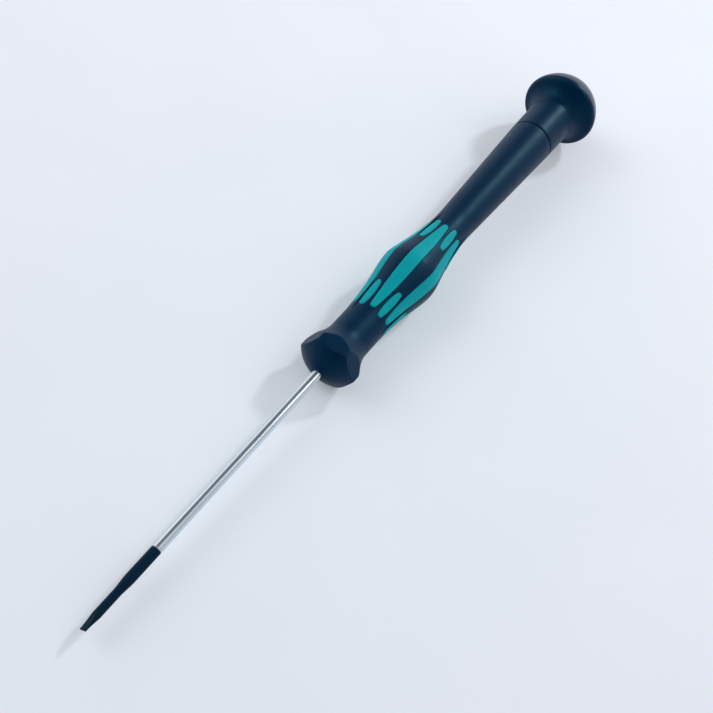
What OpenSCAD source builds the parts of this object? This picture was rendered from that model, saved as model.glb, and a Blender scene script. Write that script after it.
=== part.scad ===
// Precision slotted screwdriver with a free-turning cap.
// X runs along the tool, from the tip at -X to the cap at +X. Z is up, and one flat of the collar faces down.
// The origin lies on the axis, in the plane of the collar's front rim.

/* [Blade] */
// Diameter of the round rod
rod_d = 1.8; // [1.75:0.05:2.4]
// Length of blade that stands out of the collar
blade_reach = 60; // [40:1:100]
// Diameter of the slim neck, which is also the width of the tip
blade_neck_d = 1.4; // [1:0.05:1.6]
// Distance from the tip's end to the cone behind the neck
blade_neck_length = 7.5; // [5:0.5:16]
// Length of the cone between the neck and the rod
cone_length = 2.2; // [1:0.1:5]
// Thickness of the ground tip at its end
tip_thickness = 0.23; // [0.15:0.01:0.6]
// Length of the hollow grind on each side of the tip
grind_length = 3.3; // [2:0.1:4.5]
// Turn of the tip's flats about the axis
tip_roll = 44; // [0:1:180]
// Diameter of the tang inside the handle
tang_d = 1.4; // [1:0.05:1.4]
// Length of the tang behind the core's front face
tang_length = 38; // [34:0.5:46]
// Distance from the core's front face to the tang's wings
wing_start = 26; // [10:0.5:28]
// Length of the tang's wings
wing_length = 6; // [3:0.5:8]
// Span across the two wings
wing_span = 3.4; // [2.2:0.1:4]
// Thickness of the wings
wing_thickness = 0.8; // [0.5:0.1:1.2]

/* [Collar] */
// Width across the flats of the six-sided collar
collar_af = 10; // [9.6:0.1:11.5]
// Turned diameter that trims the collar's corners
collar_d = 11.4; // [10.9:0.1:13]
// Length of the collar at its full diameter
collar_length = 1.9; // [1.5:0.1:4]
// Length of the flare from the collar down to the front waist
flare_length = 4.4; // [3.5:0.1:7]
// Radius of the flare's hollow
flare_r = 10; // [7:0.5:20]
// Diameter of the dish at the collar's rim
dish_d = 9; // [8:0.1:9.3]
// Diameter of the dish's floor
dish_floor_d = 7.6; // [6.5:0.1:7.8]
// Depth of the dish
dish_depth = 1.3; // [0.6:0.1:2]

/* [Handle] */
// Diameter of the front waist
front_waist_d = 8; // [7.4:0.05:9]
// Length of the straight front waist
front_waist_length = 1.7; // [1:0.1:6]
// Length of the rise from the front waist to the top of the swell
swell_rise = 18.7; // [16:0.1:26]
// Diameter of the swell
swell_d = 11.35; // [10:0.05:13.5]
// Length of the fall from the top of the swell to the rear waist
swell_fall = 16.1; // [15:0.1:24]
// Diameter of the rear waist
rear_waist_d = 7.3; // [7:0.05:8.4]
// Length of the slim stretch from the rear waist to the split line
slim_length = 30.85; // [26:0.05:45]
// Diameter at the split line
split_d = 9.45; // [9:0.05:10.5]
// Lag of the rise: above 1 the handle stays slim for longer
rise_bias = 1.6; // [1:0.05:1.8]
// Lag of the fall: below 1 the handle drops away sooner
fall_bias = 0.65; // [0.6:0.05:1]
// Diameter of the hard core inside the handle
core_d = 4.8; // [4.4:0.1:5.2]

/* [Grip inlays] */
// Number of inlays in each row
pad_count = 6; // [5:1:6]
// Length of the long inlays
pad_length = 25.7; // [20:0.1:28]
// Width of the long inlays at the middle
pad_width = 2.7; // [2:0.1:3.2]
// Radius of the round ends of the long inlays
pad_end_r = 0.65; // [0.4:0.05:0.8]
// Distance from the top of the swell back to the middle of the long inlays
pad_shift = -1.2; // [-2:0.1:1]
// Length of the short inlays
oval_length = 6.6; // [5:0.1:8]
// Width of the short inlays
oval_width = 1.6; // [1.3:0.1:1.8]
// Radius of the round ends of the short inlays
oval_end_r = 0.55; // [0.4:0.05:0.6]
// Distance from the middle of the long inlays to the middle of the short ones
oval_offset = 10.1; // [9.5:0.1:11]
// Depth of the inlays below the handle's surface
pad_depth = 0.55; // [0.4:0.05:0.6]
// Height by which the soft inlays stand proud
pad_proud = 0.1; // [0.05:0.01:0.2]

/* [Cap] */
// Width of the split line between the handle and the cap
split_gap = 0.25; // [0.15:0.01:0.4]
// Diameter of the cap's neck where its fillet starts
cap_neck_d = 9.7; // [9.5:0.05:10.5]
// Distance from the cap's front face to its widest place
rim_distance = 13.2; // [12.4:0.05:15]
// Diameter of the cap's head
head_d = 16.2; // [15.6:0.1:19]
// Radius of the fillet under the head
fillet_r = 3.6; // [2:0.1:4]
// Turn of the fillet, and of the rounded rim that follows it
fillet_sweep = 72; // [60:1:78]
// Length from the widest place to the crown's seam
shoulder_length = 1.5; // [1.2:0.1:3]
// Diameter of the crown
crown_d = 13.8; // [12:0.1:14.2]
// Width of the flat lip around the crown
crown_lip = 0.15; // [0.1:0.05:0.4]
// Height of the crown's dome above its seam
crown_height = 6.45; // [4:0.05:6.8]
// Depth to which the crown sits in the head
crown_seat = 0.8; // [0.5:0.1:1.2]

/* [Cap bearing] */
// Diameter of the steel axle that the cap turns on
axle_d = 2.8; // [2.4:0.1:3]
// Length of axle pressed into the core
axle_grip = 14; // [8:0.5:18]
// Length of axle behind the retaining ring
axle_tail = 0.6; // [0.4:0.1:1]
// Outer diameter of the bearing bush
bush_d = 4.6; // [4.2:0.1:5]
// Length of the bush in front of its flange
bush_length = 10.8; // [8:0.1:11]
// Diameter of the bush's flange
bush_flange_d = 6; // [5.4:0.1:6.2]
// Thickness of the bush's flange
bush_flange_t = 0.8; // [0.5:0.1:1]
// Diameter of the hollow in the head behind the bush
hollow_d = 6.6; // [6.4:0.1:7.6]
// Diameter of the thrust washer
washer_d = 7.2; // [6.4:0.1:8]
// Depth to which the washer is let into the handle's end
washer_sink = 0.4; // [0.3:0.05:0.8]
// Outer diameter of the retaining ring
ring_d = 4.6; // [4:0.1:5]
// Thickness of the retaining ring
ring_t = 0.5; // [0.4:0.05:0.6]
// Diameter of the axle's groove for the retaining ring
groove_d = 2.2; // [1.6:0.1:2.3]
// Width of the opening in the retaining ring
ring_mouth = 1.3; // [1:0.1:1.6]
// Radial clearance between the bush and the axle
running_clearance = 0.05; // [0.02:0.01:0.09]
// Play of the cap along the axle, at the washer and at the ring
end_float = 0.03; // [0.02:0.01:0.08]

/* [Hidden] */
$fn = 96;
// Straight pieces that stand for each curve of a turned profile
curve_steps = 14;
// Straight pieces that stand for each arc of a turned profile
arc_steps = 9;
// Straight pieces along each side and each round end of an inlay
pad_side_steps = 8;
pad_end_steps = 5;
// Overrun of cutting tools
over = 1;

// Stations along the axis, from the collar to the crown
flare_x = collar_length + flare_length;
rise_x = flare_x + front_waist_length;
swell_x = rise_x + swell_rise;
rear_waist_x = swell_x + swell_fall;
handle_end = rear_waist_x + slim_length;
cap_front = handle_end + split_gap;
rim_x = cap_front + rim_distance;
seam_x = rim_x + shoulder_length;
crown_seat_x = seam_x - crown_seat;
crown_top = seam_x + crown_height;

// Stations of the cap's bearing
washer_x = handle_end - washer_sink;
washer_t = washer_sink + split_gap - end_float;
flange_x = cap_front + bush_length;
ring_x = flange_x + bush_flange_t + end_float;
axle_end = ring_x + ring_t + axle_tail;
plug_x = axle_end + bush_flange_t / 2;

// Stations of the blade
tip_x = -blade_reach;
cone_x = tip_x + blade_neck_length;
rod_x = cone_x + cone_length;

// The flare is a hollow arc between the collar's edge and the front waist
flare_drop = (collar_d - front_waist_d) / 2;
flare_chord = sqrt(flare_length ^ 2 + flare_drop ^ 2);
flare_lift = sqrt(flare_r ^ 2 - flare_chord ^ 2 / 4) / flare_chord;
flare_centre_r = (collar_d + front_waist_d) / 4 + flare_lift * flare_length;
flare_centre_x = collar_length + flare_length / 2 + flare_lift * flare_drop;

// The head's rounded rim turns back what the fillet turns, and the shoulder runs on from the rim
sweep_rise = 1 - cos(fillet_sweep);
rim_r = ((head_d - cap_neck_d) / 2 - fillet_r * sweep_rise) / sweep_rise;
fillet_x = rim_x - (fillet_r + rim_r) * sin(fillet_sweep);
lip_r = crown_d / 2 + crown_lip;
shoulder_drop = head_d / 2 - lip_r;
shoulder_r = (shoulder_length ^ 2 + shoulder_drop ^ 2) / (2 * shoulder_drop);
shoulder_sweep = 2 * atan2(shoulder_drop, shoulder_length);
dome_r = (crown_d ^ 2 / 4 + crown_height ^ 2) / (2 * crown_height);
dome_sweep = 2 * atan2(crown_height, crown_d / 2);

// The long inlays lie on the swell, and the short ones between their ends
pad_x = swell_x + pad_shift;
pad_pitch = 360 / pad_count;
// Inlay tools start inside the handle and end above its surface
pad_root_r = core_d / 2;
pad_reach = swell_d / 2 + over - pad_root_r;

// Smooth step from 0 to 1
function ease(t) = (1 - cos(180 * t)) / 2;

// Smooth stretch of a turned profile as [radius, x] points, without its first point
function curve(x0, r0, x1, r1, bias) = [
    for (i = [1 : curve_steps])
    let (t = i / curve_steps)
    [r0 + (r1 - r0) * ease(t ^ bias), x0 + (x1 - x0) * t]
];

// Arc of a turned profile about a centre, without its first point; angle 0 points along +X
function arc(centre_r, centre_x, radius, from, to) = [
    for (i = [1 : arc_steps])
    let (a = from + (to - from) * i / arc_steps)
    [centre_r + radius * sin(a), centre_x + radius * cos(a)]
];

// Profile of the swell, from the front waist to the rear waist, raised by a margin
function swell_profile(margin) = [
    for (p = concat(
        [[front_waist_d / 2, rise_x]],
        curve(rise_x, front_waist_d / 2, swell_x, swell_d / 2, rise_bias),
        curve(swell_x, swell_d / 2, rear_waist_x, rear_waist_d / 2, fall_bias)
    ))
    p + [margin, 0]
];

// Profile of the handle before its flare is cut: front bar, front waist, swell, rear waist and slim stretch
function blank_profile() = concat(
    [[collar_d / 2, 0], [collar_d / 2, flare_x], [front_waist_d / 2, flare_x]],
    swell_profile(0),
    [[split_d / 2, handle_end]]
);

// Profile of the cap, from its front face to the lip around the crown
function cap_profile() = concat(
    [[split_d / 2, cap_front], [cap_neck_d / 2, fillet_x]],
    arc(cap_neck_d / 2 + fillet_r, fillet_x, fillet_r, 270, 270 + fillet_sweep),
    arc(head_d / 2 - rim_r, rim_x, rim_r, 90 + fillet_sweep, 90),
    arc(head_d / 2 - shoulder_r, rim_x, shoulder_r, 90, 90 - shoulder_sweep)
);

// Profile of the crown's dome above its seam
function crown_profile() = concat(
    [[crown_d / 2, crown_seat_x], [crown_d / 2, seam_x]],
    arc(0, crown_top - dome_r, dome_r, dome_sweep, 0)
);

// Outline of an inlay: bulged sides that run tangent into round ends
function spindle(length, width, end_r) =
    let (
        end_x = length / 2 - end_r,
        side_r = (end_x ^ 2 + width ^ 2 / 4 - end_r ^ 2) / (width - 2 * end_r),
        side_y = side_r - width / 2,
        half = atan2(end_x, side_y)
    )
    [
        for (turn = [0, 180])
        each concat(
            [
                for (i = [0 : pad_side_steps])
                let (a = turn + 90 - half + 2 * half * i / pad_side_steps)
                [side_r * cos(a) - side_y * cos(turn + 90), side_r * sin(a) - side_y * sin(turn + 90)]
            ],
            [
                for (i = [1 : pad_end_steps - 1])
                let (a = turn + 90 + half + (180 - 2 * half) * i / pad_end_steps)
                [end_r * cos(a) - end_x * cos(turn), end_r * sin(a)]
            ]
        )
    ];

// Turned profile closed onto the tool's axis
function closed(profile) = concat(
    [[0, profile[0].y]],
    profile,
    [[0, profile[len(profile) - 1].y]]
);

// Solid of revolution about the tool's axis
module turned(profile) {
    rotate([0, 90, 0])
    rotate_extrude()
    polygon(closed(profile));
}

// Handle turned round all over, with the flare as one smooth hollow
module turned_handle() {
    rotate([0, 90, 0])
    rotate_extrude()
    difference() {
        polygon(closed(blank_profile()));
        intersection() {
            translate([flare_centre_r, flare_centre_x])
            circle(r = flare_r);
            square([collar_d, flare_x]);
        }
    }
}

// Round bar along the axis, from one station to another
module bar(d, from, to) {
    translate([from, 0, 0])
    rotate([0, 90, 0])
    cylinder(d = d, h = to - from);
}

// Cone along the axis, from one station to another
module cone(d_from, d_to, from, to) {
    translate([from, 0, 0])
    rotate([0, 90, 0])
    cylinder(d1 = d_from, d2 = d_to, h = to - from);
}

// Six-sided bar along the axis with a flat below
module hex_bar(af, from, to) {
    translate([from, 0, 0])
    rotate([0, 90, 0])
    rotate([0, 0, 30])
    cylinder(d = af / cos(30), h = to - from, $fn = 6);
}

// Tang with its two wings, which the core is moulded around
module tang() {
    bar(tang_d, dish_depth, dish_depth + tang_length);
    translate([dish_depth + wing_start, -wing_span / 2, -wing_thickness / 2])
    cube([wing_length, wing_span, wing_thickness]);
}

// Hollow grind: two crosswise cylinders leave the thin tip between them
module tip_grind() {
    bite = (blade_neck_d - tip_thickness) / 2;
    grind_r = (grind_length ^ 2 + bite ^ 2) / (2 * bite);
    for (side = [-1, 1])
    translate([tip_x, 0, side * (tip_thickness / 2 + grind_r)])
    rotate([90, 0, 0])
    cylinder(r = grind_r, h = blade_neck_d + over, center = true);
}

module blade() {
    color([0.8, 0.81, 0.83])
    rotate([-tip_roll, 0, 0]) {
        difference() {
            union() {
                bar(blade_neck_d, tip_x, cone_x);
                cone(blade_neck_d, rod_d, cone_x, rod_x);
            }
            tip_grind();
        }
        bar(rod_d, rod_x, dish_depth);
        tang();
    }
}

module handle_core() {
    color([0.1, 0.1, 0.12])
    difference() {
        bar(core_d, dish_depth, washer_x);
        rotate([-tip_roll, 0, 0])
        tang();
        bar(axle_d, handle_end - axle_grip, handle_end);
    }
}

// Tool that stands radially on the handle and has an inlay's outline
module inlay_tool(x, angle, outline) {
    rotate([angle, 0, 0])
    translate([x, 0, pad_root_r])
    linear_extrude(pad_reach)
    polygon(outline);
}

module long_tool(i) {
    inlay_tool(pad_x, pad_pitch * i, spindle(pad_length, pad_width, pad_end_r));
}

// The short inlays stand half a pitch round from the long ones, side -1 in front and 1 behind
module short_tool(i, side) {
    inlay_tool(pad_x + side * oval_offset, pad_pitch * (i + 0.5), spindle(oval_length, oval_width, oval_end_r));
}

// Soft skin of the swell, from the floor of the pockets to the proud surface
module grip_skin() {
    difference() {
        turned(swell_profile(pad_proud));
        turned(swell_profile(-pad_depth));
    }
}

// Outside of the handle: the collar's six flats cut arches into the flare
module handle_outside() {
    difference() {
        turned_handle();
        difference() {
            bar(collar_d + over, -over, flare_x);
            hex_bar(collar_af, -2 * over, flare_x + over);
        }
    }
}

module handle_shell() {
    color([0.07, 0.09, 0.12])
    difference() {
        union() {
            difference() {
                handle_outside();
                for (i = [1 : pad_count]) {
                    long_tool(i);
                    short_tool(i, -1);
                    short_tool(i, 1);
                }
            }
            turned(swell_profile(-pad_depth));
        }
        bar(core_d, 0, handle_end);
        cone(dish_d, dish_floor_d, 0, dish_depth);
        bar(washer_d, washer_x, handle_end + over);
    }
}

module grip_long(i) {
    color([0, 0.62, 0.64])
    intersection() {
        long_tool(i);
        grip_skin();
    }
}

module grip_short(i, side) {
    color([0, 0.62, 0.64])
    intersection() {
        short_tool(i, side);
        grip_skin();
    }
}

module thrust_washer() {
    color([0.85, 0.83, 0.76])
    difference() {
        bar(washer_d, washer_x, washer_x + washer_t);
        bar(axle_d, washer_x - over, cap_front);
    }
}

module cap_axle() {
    color([0.75, 0.76, 0.78]) {
        bar(axle_d, handle_end - axle_grip, ring_x);
        bar(groove_d, ring_x, ring_x + ring_t);
        bar(axle_d, ring_x + ring_t, axle_end);
    }
}

module retaining_ring() {
    color([0.45, 0.46, 0.48])
    difference() {
        bar(ring_d, ring_x, ring_x + ring_t);
        bar(groove_d, ring_x - over, ring_x + ring_t + over);
        translate([ring_x - over, -ring_mouth / 2, 0])
        cube([ring_t + 2 * over, ring_mouth, ring_d]);
    }
}

module cap_bush() {
    color([0.72, 0.54, 0.3])
    difference() {
        union() {
            bar(bush_d, cap_front, flange_x);
            bar(bush_flange_d, flange_x, flange_x + bush_flange_t);
        }
        bar(axle_d + 2 * running_clearance, cap_front - over, flange_x + bush_flange_t + over);
    }
}

module cap_shell() {
    color([0.07, 0.09, 0.12])
    difference() {
        turned(cap_profile());
        bar(bush_d, cap_front - over, flange_x);
        bar(hollow_d, flange_x, crown_seat_x);
        bar(crown_d, crown_seat_x, seam_x + over);
    }
}

module cap_crown() {
    color([0.1, 0.12, 0.15]) {
        turned(crown_profile());
        bar(hollow_d, plug_x, seam_x);
    }
}

blade();
handle_core();
handle_shell();
for (i = [1 : pad_count]) {
    grip_long(i);
    grip_short(i, -1);
    grip_short(i, 1);
}
thrust_washer();
cap_axle();
retaining_ring();
cap_bush();
cap_shell();
cap_crown();
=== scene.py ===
import math

import bmesh
import bpy
import numpy as np
from mathutils import Euler, Matrix, Vector
from mathutils.geometry import delaunay_2d_cdt


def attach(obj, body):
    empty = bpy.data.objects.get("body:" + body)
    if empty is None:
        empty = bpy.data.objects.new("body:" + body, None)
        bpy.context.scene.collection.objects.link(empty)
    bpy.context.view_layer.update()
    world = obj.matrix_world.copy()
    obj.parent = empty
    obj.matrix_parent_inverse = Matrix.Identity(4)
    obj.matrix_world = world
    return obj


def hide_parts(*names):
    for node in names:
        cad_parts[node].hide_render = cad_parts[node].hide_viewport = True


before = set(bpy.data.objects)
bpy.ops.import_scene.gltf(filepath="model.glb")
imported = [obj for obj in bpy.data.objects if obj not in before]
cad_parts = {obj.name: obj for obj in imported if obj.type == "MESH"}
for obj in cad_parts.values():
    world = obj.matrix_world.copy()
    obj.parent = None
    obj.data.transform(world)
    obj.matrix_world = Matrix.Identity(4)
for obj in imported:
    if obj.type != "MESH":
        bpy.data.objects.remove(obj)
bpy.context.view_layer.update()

# Lengths are in millimetres up to the point where a mesh is made.
MM = 0.001

# Blade
ROD_R = 0.9
NECK_R = 0.7
TIP_X = -60.0
CONE_X = -52.5
ROD_X = -50.3
BLACK_END_X = -44.2
BLACK_EDGE = (0.03, 0.27)
BLACK_WOBBLE = 0.2
TIP_HALF = 0.115
TIP_BREAK = 0.03
TIP_EDGE = 0.02
GRIND_LENGTH = 3.3
GRIND_FROM = 0.2
GRIND_ROWS = 40
CONE_ROUND = 0.5
ROD_STEP = 1.0
TIP_ROLL = math.radians(-44)
TANG_R = 0.7
TANG_END = 39.3
WING_FROM, WING_TO = 27.3, 33.3
WING_HALF_SPAN, WING_HALF_THICK = 1.7, 0.4

# Collar and its domed front
APOTHEM = 5.0
COLLAR_R = 5.7
COLLAR_X = 1.9
COLLAR_STEP = 0.11
FRONT_X = -2.6
FRONT_R = 1.2
FRONT_BULGE = 0.3
FRONT_BASE_X = 0.35
FRONT_RUN_ON = 1.5
FRONT_STEP = 0.06
FRONT_ROUND = 0.1
ROD_HOLE_R = 0.93
ROD_HOLE_ROUND = 0.05
ROD_HOLE_STEP = 0.5

# Handle
FLARE_X = 6.3
FLARE_CURVE = 10.0
FLARE_REACH = 0.995
BORE_X = 1.3
WAIST_R = 4.0
RISE_X = 8.0
SWELL_X = 26.7
SWELL_R = 5.675
REAR_X = 42.8
REAR_R = 3.65
SPLIT_R = 4.725
HANDLE_END = 73.65
RISE_BIAS = 1.6
FALL_BIAS = 0.65
BORE_R = 2.4
WASHER_R = 3.6
WASHER_X = 73.25
WASHER_ROUND = 0.06
SPLIT_ROUND = 0.14
SLIM_STEP = 1.5
WAIST_ROWS = 15
REAR_ROWS = 9
FLARE_CHORD = math.hypot(FLARE_X - COLLAR_X, COLLAR_R - WAIST_R)
FLARE_LIFT = math.sqrt(FLARE_CURVE ** 2 - FLARE_CHORD ** 2 / 4) / FLARE_CHORD
FLARE_CENTRE_R = (COLLAR_R + WAIST_R) / 2 + FLARE_LIFT * (FLARE_X - COLLAR_X)
FLARE_CENTRE_X = (COLLAR_X + FLARE_X) / 2 + FLARE_LIFT * (COLLAR_R - WAIST_R)

# Lengths over which the handle's forms run into each other
WAIST_BLEND = 0.08
COLLAR_BLEND = 0.2
FRONT_BLEND = 0.12
FLAT_BLEND = 0.14

# Inlays: (middle along the axis, length, width, end radius), and the steps of their sides and ends
LONG_PAD = (25.5, 25.7, 2.7, 0.65)
FRONT_PAD = (15.4, 6.6, 1.6, 0.55)
REAR_PAD = (35.6, 6.6, 1.6, 0.55)
LONG_STEPS = (44, 14)
OVAL_STEPS = (16, 12)
PAD_COUNT = 6
PAD_PITCH = 2 * math.pi / PAD_COUNT
PAD_DEPTH = 0.55
PAD_PROUD = 0.1
PAD_SEAM = 0.02
PAD_GRID = (0.4, 0.2)
PAD_CLEAR = 0.12

# Cap
CAP_FRONT = 73.9
NECK_STEP = 0.7
NECK_END_R = 4.85
RIM_X = 87.1
HEAD_R = 8.095
FILLET_R = 3.6
FILLET_SWEEP = math.radians(72)
SEAM_X = 87.18
SEAM_GAP = 0.02
SEAM_ROUND = 0.08
DOME_LENGTH = 8.05
DOME_BEND = 1.63
DOME_STEPS = 64
DOME_CROWDING = 1.6
NOSE_R = 2.0
HOLLOW_R = 3.3
BUSH_R = 2.3
FLANGE_X = 84.7
PLUG_X = 87.03
PLUG_GAP = 0.02
ARC_STEPS = 24

SIDES = 192
TURNS = 2 * np.pi * np.arange(SIDES) / SIDES


class Skin:
    """Points in millimetres and faces of one piece."""

    def __init__(self):
        self.points = []
        self.faces = []

    def row(self, points):
        start = len(self.points)
        self.points.extend(tuple(float(c) for c in p) for p in points)
        return list(range(start, len(self.points)))

    def strip(self, a, b):
        for i in range(len(a)):
            j = (i + 1) % len(a)
            self.faces.append((a[i], a[j], b[j], b[i]))

    def tube(self, rows):
        made = [self.row(r) for r in rows]
        for a, b in zip(made, made[1:]):
            self.strip(a, b)
        return made

    def mesh(self, name, sharp=None):
        mesh = bpy.data.meshes.new(name)
        mesh.from_pydata([tuple(c * MM for c in p) for p in self.points], [], self.faces)
        bm = bmesh.new()
        bm.from_mesh(mesh)
        bmesh.ops.remove_doubles(bm, verts=bm.verts, dist=1e-6)
        bmesh.ops.dissolve_degenerate(bm, edges=bm.edges, dist=1e-7)
        bmesh.ops.recalc_face_normals(bm, faces=bm.faces)
        bm.to_mesh(mesh)
        bm.free()
        mesh.polygons.foreach_set("use_smooth", [True] * len(mesh.polygons))
        if sharp is not None:
            mesh.set_sharp_from_angle(angle=math.radians(sharp))
        return mesh


def around(x, r):
    """Ring of points about the axis; the radius may be an array."""
    x = np.broadcast_to(x, TURNS.shape)
    r = np.broadcast_to(r, TURNS.shape)
    return np.column_stack([x, -r * np.sin(TURNS), r * np.cos(TURNS)])


def eased(corners, steps=5):
    """Profile of (x, r, cut) corners, each rounded over its cut length."""
    out = [corners[0][:2]]
    for a, b, c in zip(corners, corners[1:], corners[2:]):
        p, q, s = (np.array(k[:2], float) for k in (a, b, c))
        cut = b[2]
        if cut == 0:
            out.append(tuple(q))
            continue
        start = q + (p - q) / np.linalg.norm(p - q) * cut
        stop = q + (s - q) / np.linalg.norm(s - q) * cut
        for i in range(steps + 1):
            t = i / steps
            out.append(tuple((1 - t) ** 2 * start + 2 * t * (1 - t) * q + t * t * stop))
    out.append(corners[-1][:2])
    return out


def divided(profile, step):
    """The same profile with extra points, so that no stretch is longer than a step."""
    out = [profile[0]]
    for (ax, ar), (bx, br) in zip(profile, profile[1:]):
        n = max(1, math.ceil(math.hypot(bx - ax, br - ar) / step))
        out += [(ax + (bx - ax) * i / n, ar + (br - ar) * i / n) for i in range(1, n + 1)]
    return out


def soft_min(a, b, k):
    """The lesser of two values, blended over a length where they meet."""
    h = np.clip(k - np.abs(a - b), 0, None) / k
    return np.minimum(a, b) - h * h * k / 4


def smooth_step(t):
    """Even rise from 0 to 1 with level ends."""
    return (1 - np.cos(np.pi * np.clip(t, 0, 1))) / 2


def front_radius(x):
    """Radius of the collar's domed front, from the blade to past the collar's corners."""
    t = np.clip((x - FRONT_X) / (FRONT_BASE_X - FRONT_X), 0, FRONT_RUN_ON)
    return FRONT_R + (COLLAR_R - FRONT_R) * t + 4 * FRONT_BULGE * t * (1 - t)


def turned_radius(x):
    """Radius of the handle's turned profile."""
    x = np.asarray(x, float)
    back = np.clip(FLARE_CENTRE_X - x, 0, FLARE_REACH * FLARE_CURVE)
    flare = FLARE_CENTRE_R - np.sqrt(FLARE_CURVE ** 2 - back ** 2)
    r = soft_min(-soft_min(-flare, -WAIST_R, WAIST_BLEND), COLLAR_R, COLLAR_BLEND)
    r = soft_min(r, front_radius(x), FRONT_BLEND)
    rise = np.clip((x - RISE_X) / (SWELL_X - RISE_X), 0, 1) ** RISE_BIAS
    r = np.where(x > RISE_X, WAIST_R + (SWELL_R - WAIST_R) * smooth_step(rise), r)
    fall = np.clip((x - SWELL_X) / (REAR_X - SWELL_X), 0, 1) ** FALL_BIAS
    r = np.where(x > SWELL_X, SWELL_R + (REAR_R - SWELL_R) * smooth_step(fall), r)
    slim = (x - REAR_X) / (HANDLE_END - REAR_X)
    return np.where(x > REAR_X, REAR_R + (SPLIT_R - REAR_R) * slim, r)


def handle_radius(x, turn):
    """Radius of the handle with the collar's six flats, one of them on top."""
    sixth = (np.asarray(turn) + np.pi / 6) % (np.pi / 3) - np.pi / 6
    flat = APOTHEM / np.cos(sixth)
    return soft_min(turned_radius(x), flat, FLAT_BLEND)


def handle_normal(x, turn):
    """Outward direction of the handle's surface."""
    d = 1e-3
    slope = (handle_radius(x + d, turn) - handle_radius(x - d, turn)) / (2 * d)
    r = handle_radius(x, turn)
    swing = (handle_radius(x, turn + d) - handle_radius(x, turn - d)) / (2 * d) / r
    out = np.column_stack([np.zeros_like(turn), -np.sin(turn), np.cos(turn)])
    along = np.column_stack([np.zeros_like(turn), -np.cos(turn), -np.sin(turn)])
    n = out - slope[:, None] * np.array([1.0, 0, 0]) - swing[:, None] * along
    return n / np.linalg.norm(n, axis=1)[:, None]


def spindle_arcs(length, width, end_r):
    """Place of the end arcs, and radius and drop of the side arcs, of an inlay's outline."""
    end_x = length / 2 - end_r
    side_r = (end_x ** 2 + width ** 2 / 4 - end_r ** 2) / (width - 2 * end_r)
    return end_x, side_r, side_r - width / 2


def spindle(length, width, end_r, grow, sides, ends):
    """Outline with bulged sides that run into round ends, grown all round."""
    end_x, side_r, side_y = spindle_arcs(length, width, end_r)
    half = math.atan2(end_x, side_y)
    out = []
    for way in (1.0, -1.0):
        for i in range(sides + 1):
            a = math.pi / 2 - half + 2 * half * i / sides
            r = side_r + grow
            out.append((way * r * math.cos(a), way * (r * math.sin(a) - side_y)))
        for i in range(1, ends):
            a = math.pi / 2 + half + (math.pi - 2 * half) * i / ends
            r = end_r + grow
            out.append((way * (r * math.cos(a) - end_x), way * r * math.sin(a)))
    return np.array(out)


def spindle_half(x, length, width, end_r, grow):
    """Half the outline's width at a place along it, and 0 beyond its ends."""
    end_x, side_r, side_y = spindle_arcs(length, width, end_r)
    join = (side_r + grow) * end_x / (side_r - end_r)
    x = abs(x)
    if x <= join:
        return math.sqrt((side_r + grow) ** 2 - x ** 2) - side_y
    return math.sqrt(max(0.0, (end_r + grow) ** 2 - (x - end_x) ** 2))


def on_swell(x, y, raised):
    """Point above a place of an inlay's plan, raised from the turned surface."""
    r = turned_radius(x) + raised
    return np.column_stack([x, y, np.sqrt(r ** 2 - y ** 2)])


def rolled(points, turn):
    """Points turned about the axis."""
    c, s = math.cos(turn), math.sin(turn)
    p = np.asarray(points)
    return np.column_stack([p[:, 0], p[:, 1] * c - p[:, 2] * s, p[:, 1] * s + p[:, 2] * c])


# The pockets' lips: growth of the outline and drop below the surface
LIPS = ((0.16, 0.0), (0.1, 0.006), (0.055, 0.026), (0.022, 0.065), (0.0, 0.14))
LIP_CLEAR = 0.1
PATCH_FROM, PATCH_TO = 10.5, 41.5
PATCH_ROWS = 81
# One sixth of the swell, from three quarters of a pitch before a long inlay to a quarter after it
FIRST_COLUMN, LAST_COLUMN = -24, 8
PLAN_R = 5.4


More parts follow.
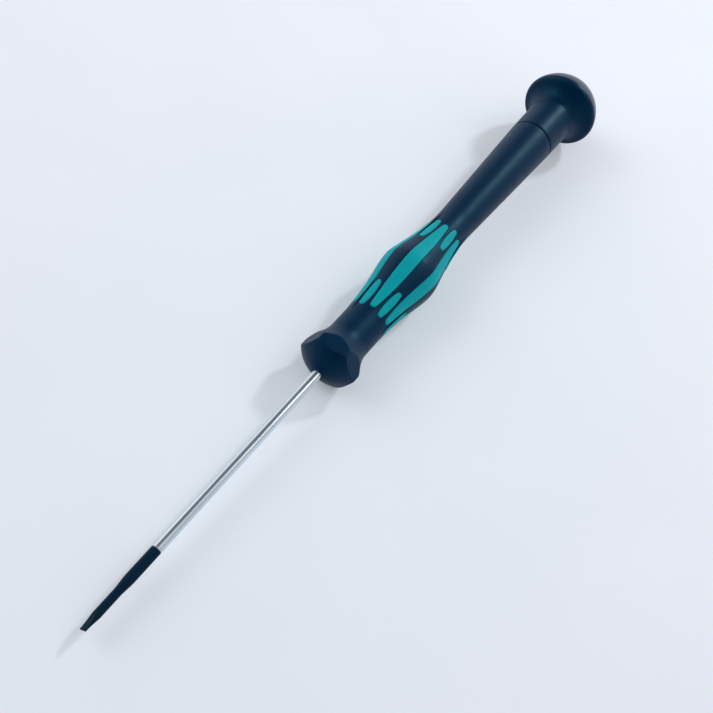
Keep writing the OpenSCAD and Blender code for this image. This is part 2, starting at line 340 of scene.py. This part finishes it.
def swell_sixth():
    """One sixth of the swell's surface with its pockets, as (points, faces)."""
    step = 2 * np.pi / SIDES
    pads = [
        (LONG_PAD, 0.0, LONG_STEPS),
        (FRONT_PAD, -PAD_PITCH / 2, OVAL_STEPS),
        (REAR_PAD, -PAD_PITCH / 2, OVAL_STEPS),
    ]
    plan, points, edges = [], [], []
    for x in np.linspace(PATCH_FROM, PATCH_TO, PATCH_ROWS):
        r = float(turned_radius(x))
        for k in range(FIRST_COLUMN, LAST_COLUMN + 1):
            turn = k * step
            inside = False
            for (mid, length, width, end_r), pad_turn, _ in pads:
                y = abs(r * math.sin(turn - pad_turn))
                inside |= y < spindle_half(x - mid, length, width, end_r, LIPS[0][0] + LIP_CLEAR)
            if not inside:
                plan.append((x, turn * PLAN_R))
                points.append((x, -r * math.sin(turn), r * math.cos(turn)))
    mouths, extra = [], []
    for (mid, length, width, end_r), pad_turn, steps in pads:
        for grow, drop in LIPS:
            outline = spindle(length, width, end_r, grow, *steps)
            x, y = outline[:, 0] + mid, outline[:, 1]
            r = turned_radius(x)
            first = len(plan)
            plan += list(zip(x, (pad_turn - np.arcsin(y / r)) * PLAN_R))
            points += [tuple(p) for p in rolled(on_swell(x, y, -drop), pad_turn)]
            n = len(outline)
            edges += [(first + i, first + (i + 1) % n) for i in range(n)]
        mouths.append(range(first, first + n))
        extra.append(rolled(on_swell(x, y, -PAD_DEPTH), pad_turn))
    plan_2d = [Vector((float(a), float(b))) for a, b in plan]
    _, _, faces, source, _, _ = delaunay_2d_cdt(plan_2d, edges, [], 0, 1e-6)
    origin = [s[0] for s in source]
    kept = []
    for f in faces:
        named = [origin[i] for i in f]
        if not any(all(i in m for i in named) for m in mouths):
            kept.append(tuple(named))
    for mouth, floor in zip(mouths, extra):
        first = len(points)
        points += [tuple(p) for p in floor]
        n = len(floor)
        for i in range(n):
            j = (i + 1) % n
            kept.append((mouth[i], mouth[j], first + j, first + i))
        kept.append(tuple(range(first, first + n)))
    return np.array(points), kept


def handle_shell_mesh():
    """Domed front, collar, waist, swell with its pockets, slim zone and bore as one skin."""
    skin = Skin()
    edge_x = FRONT_X + 2 * FRONT_ROUND
    hole = eased([
        (BORE_X, BORE_R, 0),
        (BORE_X, ROD_HOLE_R, 0),
        (FRONT_X, ROD_HOLE_R, ROD_HOLE_ROUND),
        (FRONT_X, FRONT_R, FRONT_ROUND),
        (edge_x, float(front_radius(edge_x)), 0),
    ])
    front = [around(x, r) for x, r in divided(hole, ROD_HOLE_STEP)[:-1]]
    domed_rows = np.arange(edge_x - FRONT_STEP, FRONT_BASE_X + 5 * FRONT_STEP, FRONT_STEP)
    collar_rows = np.arange(FRONT_BASE_X + 3 * COLLAR_STEP, FLARE_X, COLLAR_STEP)
    waist_rows = np.linspace(FLARE_X, PATCH_FROM, WAIST_ROWS)
    for x in np.concatenate([domed_rows, collar_rows, waist_rows]):
        front.append(around(x, handle_radius(x, TURNS)))
    first = skin.tube(front)[0]
    sixth, faces = swell_sixth()
    for k in range(PAD_COUNT):
        row = skin.row(rolled(sixth, k * PAD_PITCH))
        skin.faces += [tuple(row[i] for i in f) for f in faces]
    rear = [(x, float(turned_radius(x))) for x in np.linspace(PATCH_TO, REAR_X, REAR_ROWS)]
    tail = eased([
        (REAR_X, REAR_R, 0),
        (HANDLE_END, SPLIT_R, SPLIT_ROUND),
        (HANDLE_END, WASHER_R, WASHER_ROUND),
        (WASHER_X, WASHER_R, 0),
        (WASHER_X, BORE_R, 0),
        (BORE_X, BORE_R, 0),
    ])
    last = skin.tube([around(x, r) for x, r in rear + divided(tail, SLIM_STEP)[1:]])[-1]
    skin.strip(last, first)
    mesh = skin.mesh("handle_shell_skin")
    shade_by_form(mesh)
    return mesh


FORM_TOLERANCE = 5e-4
END_CLEAR = 0.2


def shade_by_form(mesh):
    """Gives the handle's outside the exact direction of its form at every point."""
    mesh.update()
    n = len(mesh.vertices)
    co = np.zeros(n * 3, np.float32)
    mesh.vertices.foreach_get("co", co)
    co = co.reshape(-1, 3).astype(float) / MM
    normals = np.array([v.vector for v in mesh.vertex_normals], float)
    x = co[:, 0]
    turn = np.arctan2(-co[:, 1], co[:, 2])
    r = np.hypot(co[:, 1], co[:, 2])
    on_form = np.abs(r - handle_radius(x, turn)) < FORM_TOLERANCE
    outside = on_form & (x > FRONT_X + FRONT_ROUND) & (x < HANDLE_END - END_CLEAR)
    normals[outside] = handle_normal(x[outside], turn[outside])
    mesh.normals_split_custom_set_from_vertices([tuple(v) for v in normals])


# The inlays' edges: inset of the outline and height over the handle's surface
EDGES = ((0.0, -0.09), (0.012, -0.03), (0.04, 0.02), (0.09, 0.062), (0.16, 0.087), (0.26, 0.098))


def inlay_mesh(name, pad, steps):
    """One inlay: floor, side and rounded edge, and a top that follows the swell."""
    mid, length, width, end_r = pad
    skin = Skin()
    rows = []
    outline = spindle(length, width, end_r, -PAD_SEAM, *steps)
    rows.append(skin.row(on_swell(outline[:, 0] + mid, outline[:, 1], -PAD_DEPTH)))
    for inset, raised in EDGES:
        outline = spindle(length, width, end_r, -PAD_SEAM - inset, *steps)
        rows.append(skin.row(on_swell(outline[:, 0] + mid, outline[:, 1], raised)))
    for a, b in zip(rows, rows[1:]):
        skin.strip(a, b)
    skin.faces.append(tuple(rows[0]))
    plan = [Vector((float(a), float(b))) for a, b in outline]
    n = len(plan)
    inner = -PAD_SEAM - EDGES[-1][0] - PAD_CLEAR
    for x in np.arange(-length / 2, length / 2, PAD_GRID[0]):
        for y in np.arange(-width / 2, width / 2, PAD_GRID[1]):
            if abs(y) < spindle_half(x, length, width, end_r, inner):
                plan.append(Vector((float(x), float(y))))
    edges = [(i, (i + 1) % n) for i in range(n)]
    _, _, faces, source, _, _ = delaunay_2d_cdt(plan, edges, [], 1, 1e-6)
    xy = np.array([tuple(p) for p in plan[n:]])
    inside = skin.row(on_swell(xy[:, 0] + mid, xy[:, 1], PAD_PROUD))
    place = rows[-1] + inside
    skin.faces += [tuple(place[source[i][0]] for i in f) for f in faces]
    return skin.mesh(name, sharp=60)


def blade_mesh():
    """Ground tip, neck, cone, rod and winged tang as one skin."""
    bite = NECK_R - TIP_HALF
    grind_r = (GRIND_LENGTH ** 2 + bite ** 2) / (2 * bite)
    arcs, flats = 28, 8

    def section(r, half):
        corner = math.asin(min(1.0, half / r))
        right = [(r * math.cos(a), r * math.sin(a)) for a in np.linspace(-corner, corner, arcs + 1)]
        reach = r * math.cos(corner)
        top = [(reach * (1 - 2 * i / flats), right[-1][1]) for i in range(1, flats)]
        return right + top + [(-y, -z) for y, z in right] + [(-y, -z) for y, z in top]

    def grind_half(x):
        return TIP_HALF + grind_r - math.sqrt(grind_r ** 2 - (x - TIP_X) ** 2)

    rows = []
    rows.append((TIP_X, section(NECK_R - TIP_BREAK, TIP_HALF - TIP_EDGE)))
    rows.append((TIP_X + TIP_BREAK, section(NECK_R, grind_half(TIP_X + TIP_BREAK))))
    for x in np.linspace(TIP_X + GRIND_FROM, TIP_X + GRIND_LENGTH, GRIND_ROWS):
        rows.append((x, section(NECK_R, grind_half(x))))
    rod = eased([
        (TIP_X + GRIND_LENGTH, NECK_R, 0),
        (CONE_X, NECK_R, CONE_ROUND),
        (ROD_X, ROD_R, CONE_ROUND),
        (BORE_X, ROD_R, 0),
    ])
    rod += [(BORE_X, TANG_R), (WING_FROM, TANG_R)]
    rows += [(x, section(r, r)) for x, r in divided(rod, ROD_STEP)[1:]]
    wings = []
    for y, z in section(TANG_R, TANG_R):
        a = math.atan2(z, y)
        to_side = WING_HALF_SPAN / max(abs(math.cos(a)), 1e-9)
        to_top = WING_HALF_THICK / max(abs(math.sin(a)), 1e-9)
        r = max(TANG_R, min(to_side, to_top))
        wings.append((r * math.cos(a), r * math.sin(a)))
    rows += [(WING_FROM, wings), (WING_TO, wings)]
    rows += [(WING_TO, section(TANG_R, TANG_R)), (TANG_END, section(TANG_R, TANG_R))]
    skin = Skin()
    made = skin.tube([rolled([(x, y, z) for y, z in s], TIP_ROLL) for x, s in rows])
    skin.faces += [tuple(made[0]), tuple(made[-1])]
    return skin.mesh("blade_skin", sharp=28)


def arc(centre_x, centre_r, radius, start, stop, steps):
    """Points of a profile's arc; angle 0 points along the axis."""
    turns = [start + (stop - start) * i / steps for i in range(steps + 1)]
    return [(centre_x + radius * math.cos(a), centre_r + radius * math.sin(a)) for a in turns]


def cap_shell_mesh():
    """Neck, fillet and underside of the head, up to the seam, with the hollow inside."""
    rise = 1 - math.cos(FILLET_SWEEP)
    rim_r = (HEAD_R - NECK_END_R - FILLET_R * rise) / rise
    fillet_x = RIM_X - (FILLET_R + rim_r) * math.sin(FILLET_SWEEP)
    right = math.pi / 2
    front = eased([(CAP_FRONT, BUSH_R, 0), (CAP_FRONT, SPLIT_R, SPLIT_ROUND), (fillet_x, NECK_END_R, 0)])
    body = arc(fillet_x, NECK_END_R + FILLET_R, FILLET_R, 3 * right, 3 * right + FILLET_SWEEP, ARC_STEPS)
    body += arc(RIM_X, HEAD_R - rim_r, rim_r, right + FILLET_SWEEP, right, ARC_STEPS)[1:]
    lip = eased([body[-1], (SEAM_X, HEAD_R, SEAM_ROUND), (SEAM_X, HOLLOW_R, 0)])
    inside = [(FLANGE_X, HOLLOW_R), (FLANGE_X, BUSH_R), (CAP_FRONT, BUSH_R)]
    profile = divided(front, NECK_STEP)[:-1] + body + lip[1:] + inside
    skin = Skin()
    skin.tube([around(x, r) for x, r in profile])
    return skin.mesh("cap_shell_skin", sharp=40)


def dome_radius(u):
    """Radius of the crown at a share of its length."""
    return HEAD_R * (1 - u ** DOME_BEND) ** (1 / DOME_BEND)


def cap_crown_mesh():
    """Dome from the seam to a rounded top, with the plug below it."""
    foot_x = SEAM_X + SEAM_GAP
    nose_u = (1 - (NOSE_R / HEAD_R) ** DOME_BEND) ** (1 / DOME_BEND)
    first_u = (foot_x - RIM_X + SEAM_ROUND) / DOME_LENGTH
    shares = first_u + (nose_u - first_u) * np.linspace(0, 1, DOME_STEPS) ** DOME_CROWDING
    flank = [(RIM_X + DOME_LENGTH * u, float(dome_radius(u))) for u in shares]
    small = 1e-4
    fall = (dome_radius(nose_u - small) - dome_radius(nose_u + small)) / (2 * small * DOME_LENGTH)
    lean = math.atan(1 / fall)
    nose_r = NOSE_R / math.sin(lean)
    nose = arc(flank[-1][0] - nose_r * math.cos(lean), 0, nose_r, lean, 0, ARC_STEPS // 2)
    edge = eased([(foot_x, HOLLOW_R, 0), (foot_x, float(dome_radius(first_u)), SEAM_ROUND), flank[1]])
    plug_r = HOLLOW_R - PLUG_GAP
    inside = [(PLUG_X, 0), (PLUG_X, plug_r), (foot_x, plug_r)]
    profile = inside + edge[1:-1] + flank[1:-1] + nose
    skin = Skin()
    skin.tube([around(x, max(r, 0.0)) for x, r in profile])
    return skin.mesh("cap_crown_skin", sharp=40)


# Depth of a plastic's grain and of a metal's lines, in metres
GRAIN_DEPTH = 0.00002
LINE_DEPTH = 0.00001


class Finish:
    """A procedural material under construction."""

    def __init__(self, name, colour, roughness, metallic=0.0):
        self.material = bpy.data.materials.new(name)
        self.material.use_nodes = True
        self.tree = self.material.node_tree
        self.shader = next(n for n in self.tree.nodes if n.type == "BSDF_PRINCIPLED")
        self.set("Base Color", (*colour, 1))
        self.set("Roughness", roughness)
        self.set("Metallic", metallic)
        self.place = self.node("ShaderNodeTexCoord").outputs["Object"]

    def set(self, socket, value):
        self.shader.inputs[socket].default_value = value

    def node(self, kind, **values):
        made = self.tree.nodes.new(kind)
        for key, value in values.items():
            if key in made.inputs:
                made.inputs[key].default_value = value
            else:
                setattr(made, key, value)
        return made

    def link(self, output, socket):
        self.tree.links.new(output, socket)

    def noise(self, scale, detail=3.0, stretch=None):
        made = self.node("ShaderNodeTexNoise")
        made.inputs["Scale"].default_value = scale
        made.inputs["Detail"].default_value = detail
        place = self.place
        if stretch is not None:
            mapping = self.node("ShaderNodeMapping")
            mapping.inputs["Scale"].default_value = stretch
            self.link(place, mapping.inputs["Vector"])
            place = mapping.outputs["Vector"]
        self.link(place, made.inputs["Vector"])
        return made.outputs["Fac"]

    def between(self, value, low, high, low_in=0.3, high_in=0.7):
        made = self.node("ShaderNodeMapRange")
        limits = {"From Min": low_in, "From Max": high_in, "To Min": low, "To Max": high}
        for key, number in limits.items():
            made.inputs[key].default_value = number
        self.link(value, made.inputs["Value"])
        return made.outputs["Result"]

    def blend(self, factor, first, second):
        made = self.node("ShaderNodeMix", data_type="RGBA")
        self.link(factor, made.inputs["Factor"])
        for socket, colour in (("A", first), ("B", second)):
            target = next(s for s in made.inputs if s.name == socket and s.type == "RGBA")
            if isinstance(colour, tuple):
                target.default_value = (*colour, 1)
            else:
                self.link(colour, target)
        return next(s for s in made.outputs if s.type == "RGBA")

    def mix_values(self, factor, first, second):
        made = self.node("ShaderNodeMix", data_type="FLOAT")
        self.link(factor, made.inputs["Factor"])
        for socket, value in (("A", first), ("B", second)):
            target = next(s for s in made.inputs if s.name == socket and s.type == "VALUE")
            if isinstance(value, float):
                target.default_value = value
            else:
                self.link(value, target)
        return next(s for s in made.outputs if s.type == "VALUE")

    def bump(self, height, strength, distance):
        made = self.node("ShaderNodeBump")
        made.inputs["Strength"].default_value = strength
        made.inputs["Distance"].default_value = distance
        self.link(height, made.inputs["Height"])
        self.link(made.outputs["Normal"], self.shader.inputs["Normal"])

    def colour(self, output):
        self.link(output, self.shader.inputs["Base Color"])

    def roughness(self, output):
        self.link(output, self.shader.inputs["Roughness"])


def moulded(name, dark, light, rough, grain, strength, gloss=0.19, tint=(0.14, 0.8, 1.0)):
    """Hard plastic with a fine moulded grain and faint handling marks."""
    f = Finish(name, dark, rough[0])
    f.set("IOR", 1.5)
    f.set("Specular IOR Level", gloss)
    f.set("Specular Tint", (*tint, 1))
    f.colour(f.blend(f.between(f.noise(260, 4.0), 0.0, 1.0), dark, light))
    f.roughness(f.between(f.noise(420, 5.0), *rough))
    f.bump(f.noise(grain, 2.0), strength, GRAIN_DEPTH)
    return f.material


def rubber(name, dark, light):
    """Soft matt rubber with a fine grain."""
    f = Finish(name, dark, 0.6)
    f.set("IOR", 1.45)
    f.set("Specular IOR Level", 0.2)
    f.set("Specular Tint", (0.3, 0.9, 1.0, 1))
    f.colour(f.blend(f.between(f.noise(500, 4.0), 0.0, 1.0), dark, light))
    f.roughness(f.between(f.noise(900, 4.0), 0.5, 0.66))
    f.bump(f.noise(5200, 2.0), 0.25, GRAIN_DEPTH)
    return f.material


def metal(name, dark, light, rough, stretch):
    """Turned or drawn metal with fine lines along one way."""
    f = Finish(name, dark, rough[0], 1.0)
    lines = f.noise(2600, 4.0, stretch)
    f.colour(f.blend(f.between(lines, 0.0, 1.0), dark, light))
    f.roughness(f.between(lines, *rough))
    f.bump(lines, 0.12, LINE_DEPTH)
    return f.material


def blade_finish():
    """Bright drawn steel that turns into a matt black finish over the working end."""
    f = Finish("blade_steel", (0.6, 0.61, 0.62), 0.2, 1.0)
    f.set("Specular IOR Level", 0.14)
    lines = f.noise(2200, 4.0, (0.03, 1, 1))
    specks = f.noise(1800, 3.0)
    split = f.node("ShaderNodeSeparateXYZ")
    f.link(f.place, split.inputs["Vector"])
    wobble = f.node("ShaderNodeMath", operation="MULTIPLY_ADD")
    f.link(f.noise(700, 2.0), wobble.inputs[0])
    wobble.inputs[1].default_value = BLACK_WOBBLE * MM
    f.link(split.outputs["X"], wobble.inputs[2])
    edge_from, edge_to = (BLACK_END_X + BLACK_EDGE[0]) * MM, (BLACK_END_X + BLACK_EDGE[1]) * MM
    black = f.between(wobble.outputs["Value"], 1.0, 0.0, edge_from, edge_to)
    bright = f.blend(f.between(lines, 0.0, 1.0), (0.6, 0.67, 0.74), (0.7, 0.77, 0.84))
    burnt = f.blend(f.between(specks, 0.0, 1.0), (0.0002, 0.008, 0.023), (0.0008, 0.0115, 0.03))
    f.colour(f.blend(black, bright, burnt))
    f.roughness(f.mix_values(black, f.between(lines, 0.19, 0.28), f.between(specks, 0.5, 0.62)))
    f.link(f.mix_values(black, 1.0, 0.0), f.shader.inputs["Metallic"])
    f.link(f.blend(black, (0.9, 0.96, 1.0), (0.3, 0.75, 1.0)), f.shader.inputs["Specular Tint"])
    f.bump(lines, 0.1, LINE_DEPTH)
    return f.material


NAVY = (0.0, 0.0115, 0.041), (0.0002, 0.0138, 0.047)
CROWN_NAVY = (0.0, 0.0115, 0.039), (0.0002, 0.0138, 0.045)
CORE_NAVY = (0.0, 0.0085, 0.04), (0.0002, 0.0105, 0.046)
TURQUOISE = (0.0, 0.29, 0.33), (0.0, 0.33, 0.37)
IVORY = (0.5, 0.47, 0.4), (0.58, 0.55, 0.48)
BRIGHT = (0.5, 0.51, 0.52), (0.62, 0.63, 0.64)
BLUED = (0.12, 0.13, 0.16), (0.2, 0.21, 0.24)
BRASS = (0.5, 0.34, 0.13), (0.6, 0.43, 0.2)
LENGTHWISE, CROSSWISE = (1, 0.1, 0.1), (0.1, 1, 1)
CROWN_SHEEN = {"gloss": 0.38, "tint": (0.6, 0.85, 1.0)}

finishes = {
    "handle_plastic": moulded("handle_plastic", *NAVY, (0.4, 0.48), 4200, 0.3),
    "crown_plastic": moulded("crown_plastic", *CROWN_NAVY, (0.26, 0.34), 4200, 0.3, **CROWN_SHEEN),
    "core_plastic": moulded("core_plastic", *CORE_NAVY, (0.5, 0.62), 2600, 0.2),
    "grip_rubber": rubber("grip_rubber", *TURQUOISE),
    "washer_plastic": moulded("washer_plastic", *IVORY, (0.35, 0.5), 1800, 0.15),
    "axle_steel": metal("axle_steel", *BRIGHT, (0.16, 0.3), LENGTHWISE),
    "ring_steel": metal("ring_steel", *BLUED, (0.3, 0.45), CROSSWISE),
    "bush_brass": metal("bush_brass", *BRASS, (0.22, 0.38), LENGTHWISE),
    "blade_steel": blade_finish(),
}


def piece(name, mesh, body, slot, nodes, turn=0.0):
    """Puts a skin in place of the named solids, on the body that carries them."""
    made = bpy.data.objects.new(name, mesh)
    bpy.context.scene.collection.objects.link(made)
    made.matrix_world = Matrix.Rotation(turn, 4, "X")
    if not mesh.materials:
        mesh.materials.append(finishes[slot])
    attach(made, body)
    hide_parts(*nodes)


piece("blade_look", blade_mesh(), "handle", "blade_steel", ["blade"])
piece("handle_shell_look", handle_shell_mesh(), "handle", "handle_plastic", ["handle_shell"])
# Skin of each kind of inlay and its shift round the handle, in pitches
inlays = {
    "long": (inlay_mesh("grip_long_skin", LONG_PAD, LONG_STEPS), 0.0),
    "front": (inlay_mesh("grip_front_skin", FRONT_PAD, OVAL_STEPS), 0.5),
    "rear": (inlay_mesh("grip_rear_skin", REAR_PAD, OVAL_STEPS), 0.5),
}
for i in range(1, PAD_COUNT + 1):
    for kind, (inlay, shift) in inlays.items():
        node = f"grip_{kind}_{i}"
        piece(f"{node}_look", inlay, "handle", "grip_rubber", [node], PAD_PITCH * (i + shift))
piece("cap_shell_look", cap_shell_mesh(), "cap", "handle_plastic", ["cap_shell"])
piece("cap_crown_look", cap_crown_mesh(), "cap", "crown_plastic", ["cap_crown"])

# The inner pieces keep their own shapes and get a finish each.
inner = {
    "handle_core": "core_plastic",
    "thrust_washer": "washer_plastic",
    "cap_axle": "axle_steel",
    "retaining_ring": "ring_steel",
    "cap_bush": "bush_brass",
}
for node, slot in inner.items():
    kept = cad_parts[node]
    kept.data.materials.clear()
    kept.data.materials.append(finishes[slot])

FLOOR_HALF = 3.0
# Paper tones at the dim and at the lit end of the painted light across the floor
PAPER_PAINTED_DIM = (0.775, 0.795, 0.87), (0.795, 0.815, 0.89)
PAPER_PAINTED_LIT = (0.855, 0.875, 0.945), (0.875, 0.895, 0.965)
# Painted shade: a cool tint laid on the paper near the tool
PAPER_SHADE_TINT = (0.975, 1.01, 1.0)
PAPER_LIFT = 0.25


def paper_finish():
    """Pale paper with painted light, brighter towards the cap's end, and a painted cool shade tint near
    the tool.
    """
    f = Finish("floor_paper", (0.8, 0.86, 0.93), 0.75)
    f.set("Specular IOR Level", 0.2)
    fibre = f.between(f.noise(30, 3.0), 0.0, 1.0)
    # Painted light: the paper gets lighter towards the cap's end, as if the room lit it more there.
    along = f.node("ShaderNodeVectorMath", operation="DOT_PRODUCT")
    f.link(f.place, along.inputs[0])
    along.inputs[1].default_value = (0.95, 0.3, 0)
    painted_light_share = f.between(along.outputs["Value"], 0.0, 1.0, -0.1, 0.12)
    tone = f.blend(painted_light_share, f.blend(fibre, *PAPER_PAINTED_DIM), f.blend(fibre, *PAPER_PAINTED_LIT))
    # Painted shade: the paper turns cooler in a narrow oval round the tool, where its shadows fall.
    across = f.node("ShaderNodeVectorMath", operation="MULTIPLY")
    f.link(f.place, across.inputs[0])
    across.inputs[1].default_value = (0.55, 1, 0)
    off = f.node("ShaderNodeVectorMath", operation="LENGTH")
    f.link(across.outputs["Vector"], off.inputs[0])
    shade_tint = f.node("ShaderNodeMix", data_type="RGBA", blend_type="MULTIPLY")
    f.link(f.between(off.outputs["Value"], 1.0, 0.0, 0.02, 0.075), shade_tint.inputs["Factor"])
    sockets = [s for s in shade_tint.inputs if s.type == "RGBA"]
    f.link(tone, sockets[0])
    sockets[1].default_value = (*PAPER_SHADE_TINT, 1)
    tone = next(s for s in shade_tint.outputs if s.type == "RGBA")
    f.colour(tone)
    lift_paper(f, tone)
    return f.material


def lift_paper(f, tone):
    """Lifts the paper a little where it is seen or mirrored, so that its shadows stay pale."""
    glow = f.node("ShaderNodeEmission", Strength=1.0)
    f.link(tone, glow.inputs["Color"])
    rays = f.node("ShaderNodeLightPath")
    shown = rays.outputs["Is Camera Ray"]
    for ray in ("Is Glossy Ray", "Is Transmission Ray"):
        either = f.node("ShaderNodeMath", operation="MAXIMUM")
        f.link(shown, either.inputs[0])
        f.link(rays.outputs[ray], either.inputs[1])
        shown = either.outputs["Value"]
    lift = f.node("ShaderNodeMath", operation="MULTIPLY")
    lift.inputs[1].default_value = PAPER_LIFT
    f.link(shown, lift.inputs[0])
    seen = f.node("ShaderNodeMixShader")
    f.link(lift.outputs["Value"], seen.inputs["Fac"])
    f.link(f.shader.outputs["BSDF"], seen.inputs[1])
    f.link(glow.outputs["Emission"], seen.inputs[2])
    sheet = next(n for n in f.tree.nodes if n.type == "OUTPUT_MATERIAL")
    f.link(seen.outputs["Shader"], sheet.inputs["Surface"])


# Floor: it touches the collar's front edge below and the cap's rim
corners = [(a * FLOOR_HALF, b * FLOOR_HALF, 0) for a, b in ((-1, -1), (1, -1), (1, 1), (-1, 1))]
floor_mesh = bpy.data.meshes.new("floor_skin")
floor_mesh.from_pydata(corners, [], [(0, 1, 2, 3)])
floor_mesh.materials.append(paper_finish())
floor = bpy.data.objects.new("floor", floor_mesh)
bpy.context.scene.collection.objects.link(floor)
floor_tilt = math.atan2(HEAD_R - APOTHEM, RIM_X)
floor.matrix_world = Matrix.Translation((0, 0, -APOTHEM * MM)) @ Matrix.Rotation(floor_tilt, 4, "Y")

# Light: a bright room, a small lamp beyond the cap and a soft lamp on each side
LIGHT_COLOUR = (0.96, 0.98, 1.0)
ROOM_LIGHT = 1.14
# Dim patches of the room: direction, angles of the soft edge in degrees, share of light that is left
DIM_PATCHES = (
    ((0.56, 0.22, 0.8), 16, 44, 0.15),  # ceiling beyond the tool
    ((0.42, 0.02, 0.9), 8, 27, 0.8),  # ceiling over the cap
    ((-0.65, -0.2, 0.72), 12, 48, 0.2),  # above the blade
    ((0.4, -0.85, 0.35), 10, 50, 0.5),  # right side
    ((-0.93, 0.1, 0.3), 12, 48, 0.2),  # low down before the tip
)


def dim_patch(tree, centre, inner, outer, dim):
    """Share of the room's light that is left in a dim patch of it, with a soft edge."""
    place = tree.nodes.new("ShaderNodeTexCoord").outputs["Generated"]
    near = tree.nodes.new("ShaderNodeVectorMath")
    near.operation = "DOT_PRODUCT"
    near.inputs[1].default_value = Vector(centre).normalized()
    tree.links.new(place, near.inputs[0])
    ramp = tree.nodes.new("ShaderNodeMapRange")
    ramp.interpolation_type = "SMOOTHSTEP"
    ramp.inputs["From Min"].default_value = math.cos(math.radians(outer))
    ramp.inputs["From Max"].default_value = math.cos(math.radians(inner))
    ramp.inputs["To Min"].default_value = 1.0
    ramp.inputs["To Max"].default_value = dim
    tree.links.new(near.outputs["Value"], ramp.inputs["Value"])
    return ramp.outputs["Result"]


def product(tree, first, second):
    """Output that multiplies two outputs, the first of which may be a number."""
    made = tree.nodes.new("ShaderNodeMath")
    made.operation = "MULTIPLY"
    if isinstance(first, float):
        made.inputs[0].default_value = first
    else:
        tree.links.new(first, made.inputs[0])
    tree.links.new(second, made.inputs[1])
    return made.outputs["Value"]


world = bpy.data.worlds.new("room")
bpy.context.scene.world = world
world.use_nodes = True
room = world.node_tree
sky = next(n for n in room.nodes if n.type == "BACKGROUND")
sky.inputs["Color"].default_value = (*LIGHT_COLOUR, 1)
strength = ROOM_LIGHT
for patch in DIM_PATCHES:
    strength = product(room, strength, dim_patch(room, *patch))
room.links.new(strength, sky.inputs["Strength"])

LAMP_AIM = (0.02, 0, 0)
LAMP_DISTANCE = 1.0


def lamp(name, toward, size, power):
    """Round lamp that lies in a direction from the tool and faces it."""
    data = bpy.data.lights.new(name, "AREA")
    data.shape = "DISK"
    data.size = size
    data.energy = power
    data.color = LIGHT_COLOUR
    made = bpy.data.objects.new(name, data)
    bpy.context.scene.collection.objects.link(made)
    way = Vector(toward).normalized()
    made.location = Vector(LAMP_AIM) + way * LAMP_DISTANCE
    made.rotation_mode = "QUATERNION"
    made.rotation_quaternion = way.to_track_quat("Z", "Y")


lamp("lamp_far", (0.783, -0.205, 0.587), 0.12, 3.6)
lamp("lamp_right", (0.605, -0.45, 0.657), 0.36, 0.95)
lamp("lamp_left", (-0.177, 0.768, 0.616), 0.6, 2.0)

# Camera
EYE_PLACE = (-99.167, -37.716, 155.856)
EYE_TURN = (33.5224, -11.211, -55.2217)
eye = bpy.data.cameras.new("eye")
eye.sensor_width = 36.0
eye.lens = 55.54
eye.clip_start = 0.01
eye.clip_end = 20
camera = bpy.data.objects.new("eye", eye)
bpy.context.scene.collection.objects.link(camera)
camera.location = Vector(EYE_PLACE) * MM
camera.rotation_euler = Euler([math.radians(a) for a in EYE_TURN])
bpy.context.scene.camera = camera

bpy.context.scene.view_settings.view_transform = "Standard"
